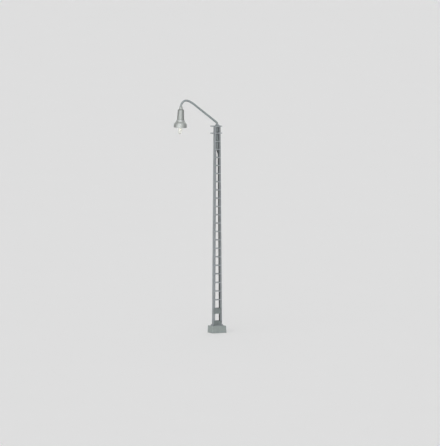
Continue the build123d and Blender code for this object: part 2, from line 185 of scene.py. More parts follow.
def add_node(tree, kind, settings=None, links=None):
    """Add a shader node, set its sockets or attributes, and link its sockets."""
    made = tree.nodes.new(kind)
    for key, value in (settings or {}).items():
        if isinstance(key, int) or key in made.inputs:
            made.inputs[key].default_value = value
        else:
            setattr(made, key, value)
    for key, source in (links or {}).items():
        tree.links.new(source, made.inputs[key])
    return made


def new_material(name):
    """An empty material and its node tree."""
    material = bpy.data.materials.new(name)
    material.use_nodes = True
    material.node_tree.nodes.clear()
    return material, material.node_tree


def shade(colour, factor):
    """The same colour, darker or lighter."""
    return (*[min(channel * factor, 1.0) for channel in colour[:3]], 1.0)


def surface(name, colour, roughness, metallic=0.0, mottle=4.0, variation=0.06, grain=0.5, bump=0.01,
            stretch=(1, 1, 1), wear=0.0, wear_colour=None, hollow_shade=None, own=True, extra=None):
    """A material with broad mottling, fine grain in colour, roughness and bump, and worn edges.

    mottle, grain and bump are real sizes in millimetres. stretch draws the pattern out along
    an axis, as brushing, turning or running paint does. hollow_shade is the colour of painted
    shade laid into the piece's own hollows, or, where own is false, wherever its neighbours stand close
    too.
    """
    material, tree = new_material(name)
    place = add_node(tree, "ShaderNodeTexCoord")
    drawn = add_node(tree, "ShaderNodeMapping", {"Scale": stretch}, {"Vector": place.outputs["Object"]})
    broad = add_node(
        tree, "ShaderNodeTexNoise", {"Scale": 1 / (mottle * MM), "Detail": 4.0, "Roughness": 0.55},
        {"Vector": drawn.outputs["Vector"]},
    )
    fine = add_node(
        tree, "ShaderNodeTexNoise", {"Scale": 1 / (grain * MM), "Detail": 3.0, "Roughness": 0.6},
        {"Vector": drawn.outputs["Vector"]},
    )
    both = add_node(
        tree, "ShaderNodeMath", {"operation": "MULTIPLY_ADD", 1: FINE_SHARE},
        {0: fine.outputs["Fac"], 2: broad.outputs["Fac"]},
    )
    tone = add_node(
        tree, "ShaderNodeMapRange", {"From Min": 0.45, "From Max": 0.9}, {"Value": both.outputs["Value"]}
    )
    paint = add_node(
        tree, "ShaderNodeMix",
        {"data_type": "RGBA", 6: shade(colour, 1 - variation), 7: shade(colour, 1 + variation)},
        {0: tone.outputs["Result"]},
    )
    result = paint.outputs[2]
    if wear:
        shape = add_node(tree, "ShaderNodeNewGeometry")
        edge = add_node(
            tree, "ShaderNodeMapRange", {"From Min": 0.515, "From Max": 0.6, "To Max": wear},
            {"Value": shape.outputs["Pointiness"]},
        )
        broken = add_node(
            tree, "ShaderNodeMath", {"operation": "MULTIPLY"},
            {0: edge.outputs["Result"], 1: tone.outputs["Result"]},
        )
        worn = add_node(
            tree, "ShaderNodeMix", {"data_type": "RGBA", 7: wear_colour or shade(colour, 1.5)},
            {0: broken.outputs["Value"], 6: result},
        )
        result = worn.outputs[2]
    # painted shade: ambient occlusion darkens the colour towards hollow_shade in hollows and where
    # neighbours stand close
    if hollow_shade:
        open_sky = add_node(
            tree, "ShaderNodeAmbientOcclusion", {"samples": 8, "only_local": own, "Distance": HOLLOW_REACH}
        )
        hollow = add_node(
            tree, "ShaderNodeMapRange", {"From Min": 0.45, "From Max": 0.8},
            {"Value": open_sky.outputs["AO"]},
        )
        shaded_hollows = add_node(
            tree, "ShaderNodeMix", {"data_type": "RGBA", 6: hollow_shade}, {0: hollow.outputs["Result"], 7: result}
        )
        result = shaded_hollows.outputs[2]
    rough = add_node(
        tree, "ShaderNodeMapRange",
        {"To Min": roughness - ROUGHNESS_SWING, "To Max": roughness + ROUGHNESS_SWING},
        {"Value": fine.outputs["Fac"]},
    )
    relief = add_node(
        tree, "ShaderNodeBump", {"Strength": 0.6, "Distance": bump * MM}, {"Height": fine.outputs["Fac"]}
    )
    shader = add_node(
        tree, "ShaderNodeBsdfPrincipled", {"Metallic": metallic, **(extra or {})},
        {"Base Color": result, "Roughness": rough.outputs["Result"], "Normal": relief.outputs["Normal"]},
    )
    add_node(tree, "ShaderNodeOutputMaterial", links={"Surface": shader.outputs["BSDF"]})
    return material


def mast_enamel(colours):
    """Air-drying enamel sprayed on sheet metal: even, half matt, a little lighter where edges rub, and
    darkened by painted shade in its hollows.
    """
    return surface(
        "sprayed_enamel_mast", colours.mast, roughness=0.46, mottle=6.0, variation=0.05, grain=0.8,
        bump=0.012, stretch=(1, 1, 0.35), wear=0.5, hollow_shade=HOLLOW_SHADE_COLOUR, extra={"IOR": 1.5},
    )


def shaded_enamel_copy(colours):
    """A darker copy of the mast's enamel, painted shade on the right leg and the foot plate, with painted
    shade in its hollows too.
    """
    # painted shade: the mast's enamel darkened to 0.86
    return surface(
        "sprayed_enamel_shaded", shade(colours.mast, 0.86), roughness=0.5, mottle=6.0,
        variation=0.07, grain=0.8, bump=0.012, stretch=(1, 1, 0.35), wear=0.4, hollow_shade=HOLLOW_SHADE_COLOUR,
        extra={"IOR": 1.5},
    )


def lightened_enamel(colours):
    """A lighter copy of the mast's enamel, painted light on the battens and bars."""
    # painted light: the mast's enamel lightened by 1.28
    return surface(
        "lightened_enamel_bars", shade(colours.mast, 1.28), roughness=0.44, mottle=3.0,
        variation=0.06, grain=0.6, bump=0.012, wear=0.5, extra={"IOR": 1.5},
    )


def foot_enamel(colours):
    """The same enamel at the mast's foot: duller, and darker as painted shade."""
    return surface(
        "dulled_enamel_foot_shaded", colours.foot, roughness=0.6, mottle=2.5, variation=0.12, grain=0.5,
        bump=0.015, wear=0.35, extra={"IOR": 1.5},
    )


def arm_enamel(colours):
    """The same enamel on drawn tube: a touch smoother, so the tube shows a soft bright line, and darkened
    by painted shade where the legs and clamps stand close.
    """
    return surface(
        "sprayed_enamel_tube", colours.arm, roughness=0.38, mottle=5.0, variation=0.04, grain=0.8,
        bump=0.008, hollow_shade=HOLLOW_SHADE_COLOUR, own=False, extra={"IOR": 1.5},
    )


def foundation_plastic(colours):
    """ABS moulded against a spark-eroded tool: fine matt grain that looks like smooth concrete."""
    return surface(
        "moulded_abs_foundation", colours.foundation, roughness=0.58, mottle=2.6, variation=0.07,
        grain=0.5, bump=0.02, wear=0.4, extra={"IOR": 1.54},
    )


def black_plastic():
    """Phenolic moulding: near black, half matt, with a slight sheen."""
    return surface(
        "moulded_phenolic_black", linear("#242424"), roughness=0.45, mottle=3.0, variation=0.15,
        grain=0.4, bump=0.01, extra={"IOR": 1.55},
    )


def fastener_steel():
    """Blackened steel screws: dark metal with bright edges where a key has been."""
    return surface(
        "blackened_steel_bolts", linear("#70757A"), roughness=0.42, metallic=0.8, mottle=0.8,
        variation=0.12, grain=0.25, bump=0.008, wear=0.8, wear_colour=linear("#B9BEC2"),
    )


def lamp_silver(colours):
    """Aluminium-flake lacquer on turned brass: bright where it faces the light, dull at its sides, and
    darkened by painted shade in the seams with its neighbours.
    """
    return surface(
        "flake_lacquer_lamp", colours.lamp, roughness=0.45, metallic=1.0, mottle=2.2,
        variation=0.05, grain=0.35, bump=0.008, stretch=(1, 1, 2.5), wear=0.3, hollow_shade=SEAM_SHADE_COLOUR,
        own=False,
    )


def spun_shade(colours):
    """Spun aluminium: a lighter copy of the lamp's silver, painted light on the shade; fine rings round the
    lamp's axis draw its highlight out sideways, and painted shade darkens its seams.
    """
    # painted light: the lamp's silver lightened by 1.2
    return surface(
        "spun_aluminium_shade_lightened", shade(colours.lamp, 1.2), roughness=0.4, metallic=1.0, mottle=3.0,
        variation=0.04, grain=0.3, bump=0.006, stretch=(1, 1, 3.5), wear=0.3, hollow_shade=SEAM_SHADE_COLOUR,
        own=False,
    )


def polished_ring():
    """Aluminium turned and buffed: brighter and smoother than the lacquer round it."""
    return surface(
        "buffed_aluminium_ring", linear("#B4B7B7"), roughness=0.34, metallic=1.0, mottle=1.5,
        variation=0.05, grain=0.25, bump=0.004, stretch=(1, 1, 4),
    )


def reflector_white():
    """Stove enamel inside the shade: white and glossier than the lacquer outside."""
    return surface(
        "stove_enamel_reflector", linear("#E9E8E2"), roughness=0.32, mottle=2.5, variation=0.03,
        grain=0.6, bump=0.006, extra={"IOR": 1.52},
    )


def contact_brass():
    """Turned brass: yellow metal with fine rings round each turned piece."""
    return surface(
        "turned_brass_contacts", linear("#C9A45C"), roughness=0.3, metallic=1.0, mottle=1.0,
        variation=0.1, grain=0.2, bump=0.006, stretch=(1, 1, 4),
    )


def lead_insulation():
    """Extruded PVC: nearly black, with a long soft highlight."""
    return surface(
        "extruded_pvc_leads", linear("#2B2D2F"), roughness=0.5, mottle=3.0, variation=0.15,
        grain=0.5, bump=0.006, extra={"IOR": 1.53},
    )


def bead_glass():
    """Pressed bead glass: blue-grey, cloudy, with small bubbles."""
    return surface(
        "pressed_glass_bead", linear("#77828A"), roughness=0.18, mottle=0.6, variation=0.2,
        grain=0.2, bump=0.005, extra={"IOR": 1.52, "Transmission Weight": 0.5},
    )


def nickel_wire():
    """Drawn nickel: the posts that hold the filament."""
    return surface(
        "drawn_nickel_posts", linear("#B8B2A6"), roughness=0.3, metallic=1.0, mottle=0.5,
        variation=0.1, grain=0.15, bump=0.003,
    )


def glowing(name, body, glow_colour, strength, roughness, low=0.8, high=1.2, absorb=0.0, extra=None):
    """A lit surface whose glow swells and fades a little over it, from low to high of its strength.

    absorb is the share of light lost in each metre of the piece, for tinted glass.
    """
    material, tree = new_material(name)
    place = add_node(tree, "ShaderNodeTexCoord")
    uneven = add_node(
        tree, "ShaderNodeTexNoise", {"Scale": 1 / (1.2 * MM), "Detail": 2.0},
        {"Vector": place.outputs["Object"]},
    )
    glow = add_node(
        tree, "ShaderNodeMapRange", {"To Min": low * strength, "To Max": high * strength},
        {"Value": uneven.outputs["Fac"]},
    )
    shader = add_node(
        tree, "ShaderNodeBsdfPrincipled",
        {"Base Color": body, "Roughness": roughness, "Emission Color": glow_colour, **(extra or {})},
        {"Emission Strength": glow.outputs["Result"]},
    )
    ends = {"Surface": shader.outputs["BSDF"]}
    if absorb:
        tint = add_node(
            tree, "ShaderNodeVolumeAbsorption", {"Color": linear("#202020"), "Density": absorb}
        )
        ends["Volume"] = tint.outputs["Volume"]
    add_node(tree, "ShaderNodeOutputMaterial", links=ends)
    return material


def bulb_glass(colours):
    """Blown clear glass: dark outlines, a clear middle, and a faint warm bloom from the filament."""
    return glowing(
        "blown_glass_lit_bulb", linear("#FFFFFF"), colours.bulb_glow, strength=0.055, roughness=0.04,
        absorb=950.0, extra={"IOR": 1.5, "Transmission Weight": 0.95},
    )


def filament_glow():
    """Tungsten coil at yellow heat."""
    hot = linear("#FFF7E8")
    return glowing("coiled_tungsten_filament", hot, hot, strength=0.5, roughness=0.5)


def seen_directly(tree):
    """One for rays from the eye, off a mirror or through glass, and nought for the rest."""
    path = add_node(tree, "ShaderNodeLightPath")
    seen = add_node(
        tree, "ShaderNodeMath", {"operation": "MAXIMUM"},
        {0: path.outputs["Is Camera Ray"], 1: path.outputs["Is Glossy Ray"]},
    )
    plain = add_node(
        tree, "ShaderNodeMath", {"operation": "MAXIMUM"},
        {0: seen.outputs["Value"], 1: path.outputs["Is Transmission Ray"]},
    )
    return plain.outputs["Value"]


def paper_floor(colour):
    """Seamless paper: matt and even, lifted to the backdrop's tone where it is seen directly."""
    material, tree = new_material("seamless_paper_floor")
    place = add_node(tree, "ShaderNodeTexCoord")
    fibre = add_node(
        tree, "ShaderNodeTexNoise", {"Scale": 1 / (60 * MM), "Detail": 3.0},
        {"Vector": place.outputs["Object"]},
    )
    tone = add_node(
        tree, "ShaderNodeMix", {"data_type": "RGBA", 6: shade(colour, 0.996), 7: shade(colour, 1.004)},
        {0: fibre.outputs["Fac"]},
    )
    matt = add_node(tree, "ShaderNodeBsdfDiffuse", None, {"Color": tone.outputs[2]})
    lift = add_node(
        tree, "ShaderNodeMath", {"operation": "MULTIPLY", 1: FLOOR_LIFT}, {0: seen_directly(tree)}
    )
    glow = add_node(
        tree, "ShaderNodeEmission", None, {"Color": tone.outputs[2], "Strength": lift.outputs["Value"]}
    )
    both = add_node(
        tree, "ShaderNodeAddShader", None, {0: matt.outputs["BSDF"], 1: glow.outputs["Emission"]}
    )
    add_node(tree, "ShaderNodeOutputMaterial", links={"Surface": both.outputs["Shader"]})
    return material


# Mesh helpers


def finish_piece(bm, name, materials, body, nodes):
    """Make an object from a mesh in millimetres: smooth, with its materials and body, and its CAD nodes
    hidden.
    """
    mesh = bpy.data.meshes.new(name)
    bmesh.ops.scale(bm, vec=(MM, MM, MM), verts=bm.verts)
    bmesh.ops.recalc_face_normals(bm, faces=bm.faces)
    bm.to_mesh(mesh)
    bm.free()
    mesh.shade_smooth()
    piece = bpy.data.objects.new(name, mesh)
    for material in materials:
        mesh.materials.append(material)
    bpy.context.scene.collection.objects.link(piece)
    weighted = piece.modifiers.new("weighted normals", "WEIGHTED_NORMAL")
    weighted.keep_sharp = True
    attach(piece, body)
    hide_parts(*nodes)
    return piece


def welded_mesh(node):
    """A CAD node's mesh in millimetres, with its vertices welded."""
    bm = bmesh.new()
    bm.from_mesh(frame["nodes"][node].data)
    bmesh.ops.scale(bm, vec=(1 / MM, 1 / MM, 1 / MM), verts=bm.verts)
    bmesh.ops.remove_doubles(bm, verts=bm.verts, dist=WELD)
    return bm


def rounded_mesh(node, radius):
    """A CAD node's mesh with its flat faces joined up and every sharp edge rounded."""
    bm = welded_mesh(node)
    bmesh.ops.dissolve_limit(bm, angle_limit=math.radians(0.5), verts=bm.verts, edges=bm.edges)
    sharp = [e for e in bm.edges if e.is_manifold and e.calc_face_angle() > math.radians(SHARP_TURN)]
    bmesh.ops.bevel(
        bm, geom=sharp, offset=radius / MM, segments=2, profile=0.5, affect="EDGES", clamp_overlap=True
    )
    return bm


def add_rivet(bm, place, outward, radius, height):
    """A low round head on a face, at place, in millimetres; outward is the face's normal."""
    turn = Vector((0, 0, 1)).rotation_difference(outward).to_matrix().to_4x4()
    shape = Matrix.Translation(place) @ turn @ Matrix.Diagonal((radius, radius, height, 1))
    bmesh.ops.create_uvsphere(bm, u_segments=16, v_segments=10, radius=1.0, matrix=shape)


def join_rings(bm, first, second, slot=0):
    """Faces from one ring of vertices to the next, in the material of this slot."""
    for step in range(len(first)):
        following = (step + 1) % len(first)
        face = bm.faces.new((first[step], first[following], second[following], second[step]))
        face.material_index = slot


def lathe(bm, outline, origin, up, steps=64, slots=None):
    """Turn a closed outline of (radius, height) points about the axis through origin along up.

    slots holds the material slot of each stretch of the outline, where it has more than one.
    """
    side = up.orthogonal().normalized()
    front = up.cross(side)
    rings = []
    for radius, height in outline:
        ring = []
        for step in range(steps):
            angle = 2 * math.pi * step / steps
            out = side * math.cos(angle) + front * math.sin(angle)
            ring.append(bm.verts.new(origin + up * height + out * radius))
        rings.append(ring)
    for index, ring in enumerate(rings):
        join_rings(bm, ring, rings[(index + 1) % len(rings)], slots[index] if slots else 0)
    bmesh.ops.remove_doubles(bm, verts=bm.verts, dist=TURNED_WELD)


def arc(centre, radius, start, end, steps=8):
    """Points along an arc in the outline's plane, angles in degrees from the radius direction."""
    points = []
    for step in range(steps + 1):
        angle = math.radians(start + (end - start) * step / steps)
        points.append((centre[0] + radius * math.cos(angle), centre[1] + radius * math.sin(angle)))
    return points


def eased(start, end, ease, steps):
    """Outline points from start to end; ease turns the height's share into the radius's share."""
    shares = [step / steps for step in range(steps + 1)]
    return [
        (start[0] + (end[0] - start[0]) * ease(share), start[1] + (end[1] - start[1]) * share)
        for share in shares
    ]


def bell(start, end, steps=10):
    """A soft S, halfway between a smooth step and a straight line."""
    return eased(start, end, lambda share: share * share * (3 - 2 * share) * 0.5 + share * 0.5, steps)


def flare(start, end, steps=10):
    """A trumpet's curve: quick to narrow at first, then nearly straight."""
    return eased(start, end, lambda share: 1 - (1 - share) ** 2.4, steps)


# Places read from the frame


def lamp_frame():
    """The lamp's axis: the centre of the shade's rim in millimetres, and the way up it."""
    down = Vector(frame["joints"][0]["axis"])
    up = -down.normalized()
    points = [v.co / MM for v in frame["nodes"]["shade"].data.vertices]
    low = min(p.dot(up) for p in points)
    rim = [p for p in points if p.dot(up) < low + 0.01]
    outermost = min(rim, key=lambda p: p.x)
    innermost = max(rim, key=lambda p: p.x)
    middle = (outermost + innermost) / 2
    return Vector((middle.x, 0, middle.z)), up


def turned_points(node):
    """A turned node's vertices as (radius, height) about the lamp's axis, in millimetres."""
    origin, up = lamp_frame()
    places = []
    for vertex in frame["nodes"][node].data.vertices:
        offset = vertex.co / MM - origin
        height = offset.dot(up)
        places.append(((offset - up * height).length, height))
    return places


def radius_at(places, height, widest=True):
    """The widest or narrowest radius that a turned node has at this height."""
    here = [radius for radius, level in places if abs(level - height) < LEVEL_BAND]
    return max(here) if widest else min(here)


def widest_radius(places):
    """The widest radius that a turned node has anywhere."""
    return max(radius for radius, _ in places)


def turned_ends(node):
    """A turned node's points, its lowest and its highest level."""
    places = turned_points(node)
    levels = [height for _, height in places]
    return places, min(levels), max(levels)


# Pieces


def copied(node, name, material, radius, body="mast"):
    """A CAD node with its edges rounded and its finish on."""
    return finish_piece(rounded_mesh(node, radius), name, [material], body, [node])


def riveted(node, name, material, sizes, rows, inset):
    """A plate, or a pair of battens, with rounded edges and rivet heads at both ends outside."""
    bm = rounded_mesh(node, sizes.edge_round)
    low, high = (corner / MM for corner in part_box(node))
    for side, face in ((-1, low.y), (1, high.y)):
        if side * face < 0:  # this face looks into the mast
            continue
        for end in (low.x + inset, high.x - inset):
            for row in range(rows):
                level = low.z + (high.z - low.z) * (row + 1) / (rows + 1)
                add_rivet(
                    bm, Vector((end, face, level)), Vector((0, side, 0)),
                    sizes.rivet_radius / MM, sizes.rivet_height / MM,
                )
    return finish_piece(bm, name, [material], "mast", [node])


def straight_run(mesh, belongs):
    """The low and the high end of a straight tube's centre line, from its longest edges."""
    spans = []
    for edge in mesh.edges:
        ends = [mesh.vertices[i].co / MM for i in edge.vertices]
        if belongs(*ends):
            spans.append(((ends[0] - ends[1]).length, *sorted(ends, key=lambda p: p.z)))
    longest = max(span[0] for span in spans)
    runs = [span for span in spans if span[0] > longest * 0.985]  # each is the straight part's full length
    return [sum((span[end] for span in runs), Vector()) / len(runs) for end in (1, 2)]


def arm_path(easy_turn, gap):
    """The arm's centre line: points in millimetres, each with how bent the tube is there."""
    mesh = frame["nodes"]["arm_tube"].data
    origin, up = lamp_frame()
    sideways, near_lamp = 1, 3  # millimetres that tell the sloping run's edges from the drop's
    slope_foot, slope_head = straight_run(mesh, lambda p, q: abs(p.x - q.x) > sideways)
    drop_foot, drop_head = straight_run(mesh, lambda p, q: max(p.x, q.x) < origin.x + near_lamp)
    slope = (slope_head - slope_foot).normalized()
    mast_corner = slope_foot - slope * (slope_foot.x / slope.x)
    offset = origin - mast_corner
    crossing = (offset.x * up.z - offset.z * up.x) / (slope.x * up.z - slope.z * up.x)
    lamp_corner = mast_corner + slope * crossing
    # The upper bend is two: the easy and the tight corner lie on the slope and the drop, spacing apart
    whole_turn = slope.angle(-up)
    to_easy = math.sin(whole_turn - easy_turn) / math.sin(whole_turn)
    to_tight = math.sin(easy_turn) / math.sin(whole_turn)
    slope_left = (lamp_corner - slope_head).length
    drop_left = (lamp_corner - drop_head).length
    spacing = (slope_left + drop_left + gap) / (1 + to_easy + to_tight)
    foot = Vector((0, 0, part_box("arm_tube")[0].z / MM))
    corners = [
        foot, mast_corner, lamp_corner - slope * spacing * to_easy, lamp_corner - up * spacing * to_tight,
        origin + up * (drop_foot - origin).dot(up),
    ]
    tangents = [
        (slope_foot - mast_corner).length, slope_left - spacing * to_easy, drop_left - spacing * to_tight
    ]
    path = [(foot, 0.0)]
    for index, tangent in enumerate(tangents, start=1):
        before = (corners[index - 1] - corners[index]).normalized()
        after = (corners[index + 1] - corners[index]).normalized()
        half = before.angle(after) / 2
        radius = tangent * math.tan(half)
        centre = corners[index] + (before + after).normalized() * (radius / math.sin(half))
        start = corners[index] + before * tangent - centre
        turn = math.pi - 2 * half
        for step in range(BEND_STEPS + 1):
            angle = turn * step / BEND_STEPS
            swept = start * math.cos(angle) - before * (radius * math.sin(angle))
            path.append((centre + swept, math.sin(math.pi * step / BEND_STEPS) * tangent / radius))
    path.append((corners[-1], 0.0))
    return path


def tube_rings(bm, path, radius, steps=40):
    """Rings of vertices round a path in the arm's plane, a little oval where it bends."""
    across = Vector((0, 1, 0))
    rings = []
    for index, (point, bent) in enumerate(path):
        before = path[max(index - 1, 0)][0]
        after = path[min(index + 1, len(path) - 1)][0]
        out = (after - before).normalized().cross(across)
        ring = []
        for step in range(steps):
            angle = 2 * math.pi * step / steps
            offset = out * math.cos(angle) * radius * (1 - TUBE_OVAL * bent)
            ring.append(bm.verts.new(point + offset + across * math.sin(angle) * radius))
        rings.append(ring)
    for first, second in zip(rings, rings[1:]):
        join_rings(bm, first, second)
    return rings


class YARDLAMP_OT_foundation(bpy.types.Operator):
    """Build the foundation block, the contact carrier and the two contact tubes"""

    bl_idname = "yard_lamp.foundation"
    bl_label = "Foundation"

    def execute(self, context):
        settings = context.scene.yard_lamp
        sizes = settings.sizes
        plastic = foundation_plastic(settings.colours)
        copied("foundation", "foundation_block", plastic, sizes.block_round)
        copied("contact_carrier", "carrier_plate", black_plastic(), sizes.edge_round)
        brass = contact_brass()
        for side in ("left", "right"):
            copied(f"contact_tube_{side}", f"socket_{side}", brass, sizes.edge_round)
        return {"FINISHED"}


class YARDLAMP_OT_mast(bpy.types.Operator):
    """Build the legs, the foot, the tie plates and the battens"""

    bl_idname = "yard_lamp.mast"
    bl_label = "Mast"

    def execute(self, context):
        settings = context.scene.yard_lamp
        sizes = settings.sizes
        enamel = mast_enamel(settings.colours)
        steel = fastener_steel()
        copied("left_channel", "left_leg", enamel, sizes.edge_round)
        shaded_copy = shaded_enamel_copy(settings.colours)
        # the right leg and the foot plate get the darker copy of the enamel: painted shade
        copied("right_channel", "right_leg", shaded_copy, sizes.edge_round)
        dull = foot_enamel(settings.colours)
        pale = lightened_enamel(settings.colours)
        copied("mast_foot_plate", "foot_plate", shaded_copy, sizes.edge_round)
        copied("anchor_bolts", "anchor_screws", steel, sizes.edge_round)
        for face in ("front", "rear"):
            riveted(f"foot_gusset_{face}", f"gusset_{face}", dull, sizes, 2, GUSSET_RIVET_INSET)
            riveted(f"tie_plate_{face}", f"tie_{face}", dull, sizes, 2, TIE_RIVET_INSET)
        battens = sorted(name for name in frame["nodes"] if name.startswith("batten_pair"))
        for node in battens:
            name = node.replace("batten_pair", "batten_rung")
            riveted(node, name, pale, sizes, 1, BATTEN_RIVET_INSET)
        return {"FINISHED"}


class YARDLAMP_OT_mast_head(bpy.types.Operator):
    """Build the cap plate, the clamps with their bolts, and the blocks that hold the tube"""

    bl_idname = "yard_lamp.mast_head"
    bl_label = "Mast head"

    def execute(self, context):
        edge = context.scene.yard_lamp.sizes.edge_round
        # the lighter copy of the mast's enamel: painted light on the cap, guides, saddles and bars
        pale = bpy.data.materials["lightened_enamel_bars"]
        steel = bpy.data.materials["blackened_steel_bolts"]
        for node in ("mast_cap_plate", "upper_tube_guide", "lower_tube_saddles"):
            copied(node, node.replace("tube", "finished"), pale, edge)
        for level in ("upper", "lower"):
            for face in ("front", "rear"):
                copied(f"{level}_clamp_{face}", f"{level}_bar_{face}", pale, edge)
            for kind in ("bolts", "nuts"):
                copied(f"{level}_clamp_{kind}", f"{level}_{kind}", steel, edge)
        return {"FINISHED"}


class YARDLAMP_OT_arm(bpy.types.Operator):
    """Build the bent tube and the ferrule at its foot"""

    bl_idname = "yard_lamp.arm"
    bl_label = "Arm"

    def execute(self, context):
        settings = context.scene.yard_lamp
        enamel = arm_enamel(settings.colours)
        low, high = (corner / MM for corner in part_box("arm_tube"))
        radius = (high.y - low.y) / 2
        bm = bmesh.new()
        path = arm_path(settings.sizes.easy_turn, settings.sizes.bend_gap / MM)
        outer = tube_rings(bm, path, radius)
        inner = tube_rings(bm, path, radius * TUBE_BORE)
        for end in (0, -1):
            join_rings(bm, outer[end], inner[end])
        finish_piece(bm, "bent_tube", [enamel], "mast", ["arm_tube"])

        low, high = (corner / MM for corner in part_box("tube_ferrule"))
        wide = (high.x - low.x) / 2
        tall = high.z - low.z
        bore = radius + 0.02
        toe, swell, lip = 0.1, 0.28, 0.12  # radii of the rounds at its foot, its middle and its top
        bm = bmesh.new()
        outline = [
            (bore, 0), (wide - toe * 0.6, 0), *arc((wide - toe, toe), toe, -90, 0, 4),
            *arc((wide - swell, tall * 0.55), swell, 0, 60, 6),
            *arc((bore + 0.2, tall - lip), lip, 50, 100, 4), (bore, tall),
        ]
        lathe(bm, outline, Vector((0, 0, low.z)), Vector((0, 0, 1)), 48)
        finish_piece(bm, "solder_ferrule", [enamel], "mast", ["tube_ferrule"])
        return {"FINISHED"}


class YARDLAMP_OT_lamp_head(bpy.types.Operator):
    """Build the lamp's cap, neck, retaining ring and bell shade"""

    bl_idname = "yard_lamp.lamp_head"
    bl_label = "Lamp head"

    def execute(self, context):
        settings = context.scene.yard_lamp
        silver = lamp_silver(settings.colours)
        origin, up = lamp_frame()

        cap, cap_low, cap_high = turned_ends("lamp_cap")
        neck, neck_low, neck_high = turned_ends("lamp_neck")
        bore = radius_at(cap, cap_high, widest=False)
        top = radius_at(cap, cap_high)
        spigot = radius_at(cap, cap_low)
        brim = widest_radius(cap)
        lip, crest = 0.1, 0.14  # radii of the rounds on the brim and at the top
        bm = bmesh.new()
        outline = [
            (bore, cap_low), (spigot, cap_low), (spigot, neck_high), (brim - lip * 0.6, neck_high),
            *arc((brim - lip, neck_high + lip), lip, -90, 30, 5),
            *flare((brim - lip * 0.5, neck_high + lip * 1.6), (top + 0.08, cap_high - 0.25)),
            *arc((top - 0.06, cap_high - crest), crest, 10, 90, 5), (bore, cap_high),
        ]
        lathe(bm, outline, origin, up)
        finish_piece(bm, "cone_cap", [silver], "mast", ["lamp_cap"])

        foot = radius_at(neck, neck_low)
        head = radius_at(neck, neck_high)
        wall, bead, brow = 0.35, 0.12, 0.13  # brow is the round under the cap, bead the one at the foot
        bore_level = cap_high - (cap_high - cap_low) * 1.6 - 3.2  # the bore is at its widest below this
        bm = bmesh.new()
        outline = [
            (foot - wall, neck_low), (foot - bead, neck_low),
            *arc((foot - bead, neck_low + bead), bead, -90, 80, 6),
            *bell((foot - 0.1, neck_low + 0.35), (head - 0.02, neck_high - 0.45), 12),
            *arc((head - brow, neck_high - 0.25), brow, -70, 0, 4),
            *arc((head - brow, neck_high - brow), brow, 0, 90, 5),
            (head - wall, neck_high), (head - wall, neck_high - 1.4), (foot - wall, bore_level),
        ]
        lathe(bm, outline, origin, up)
        finish_piece(bm, "lamp_housing", [silver], "mast", ["lamp_neck"])

        ring, ring_low, ring_high = turned_ends("retaining_ring")
        outside = widest_radius(ring)
        inside = min(radius for radius, _ in ring)
        bevel = (ring_high - ring_low) * 0.2
        bm = bmesh.new()
        outline = [
            (inside, ring_low), *arc((outside - bevel, ring_low + bevel), bevel, -90, 0, 5),
            *arc((outside - bevel, ring_high - bevel), bevel, 0, 90, 5), (inside, ring_high),
        ]
        lathe(bm, outline, origin, up)
        finish_piece(bm, "screw_ring", [polished_ring()], "mast", ["retaining_ring"])

        self.build_shade(settings, spun_shade(settings.colours), origin, up)
        return {"FINISHED"}

    def build_shade(self, settings, spun, origin, up):
        """The spun shade: collar, shoulder, skirt and a rolled rim, white inside."""
        places, low, high = turned_ends("shade")
        rim = radius_at(places, low)
        collar = radius_at(places, high)
        skin = rim - radius_at(places, low, widest=False)
        ring_low = turned_ends("retaining_ring")[1]
        shoulder = max(height for radius, height in places if radius > rim * 0.94)
        crown = max(radius for radius, height in places if abs(height - ring_low) < LEVEL_BAND)
        skirt = radius_at(places, shoulder)
        bead = settings.sizes.rim_bead / MM
        brow, turn = 0.15, 0.4  # radii of the rounds at the crown and at the shoulder
        slope = bell((crown + 0.02, ring_low - 0.25), (skirt - 0.22, shoulder + 0.3), 14)
        outside = [
            (collar, high), (collar, ring_low), (crown - brow, ring_low),
            *arc((crown - brow, ring_low - brow), brow, 90, 35, 4), *slope,
            *arc((skirt - turn, shoulder - 0.1), turn, 42, 4, 6), (rim - 0.03, bead * 2.2),
            *arc((rim - bead, bead), bead, 40, -90, 8),
        ]
        inside = [
            *arc((rim - bead, bead), bead, -90, -170, 5), (rim - skin - 0.04, bead * 2.2),
            *arc((skirt - turn - skin, shoulder - 0.1), turn, 4, 42, 6),
            *((radius - skin, height - skin) for radius, height in reversed(slope)),
            (collar - skin, ring_low - skin), (collar - skin, high),
        ]
        bm = bmesh.new()
        slots = [0] * len(outside) + [1] * len(inside)
        lathe(bm, outside + inside, origin, up, 96, slots)
        finish_piece(bm, "bell_shade", [spun, reflector_white()], "mast", ["shade"])


class YARDLAMP_OT_holder(bpy.types.Operator):
    """Build the bulb holder and its two contacts"""

    bl_idname = "yard_lamp.holder"
    bl_label = "Bulb holder"

    def execute(self, context):
        edge = context.scene.yard_lamp.sizes.edge_round
        black = bpy.data.materials["moulded_phenolic_black"]
        brass = bpy.data.materials["turned_brass_contacts"]
        copied("bulb_holder", "holder_body", black, edge)
        copied("shell_contact", "sleeve_contact", brass, edge / 2)
        copied("centre_contact", "button_contact", brass, edge)
        return {"FINISHED"}


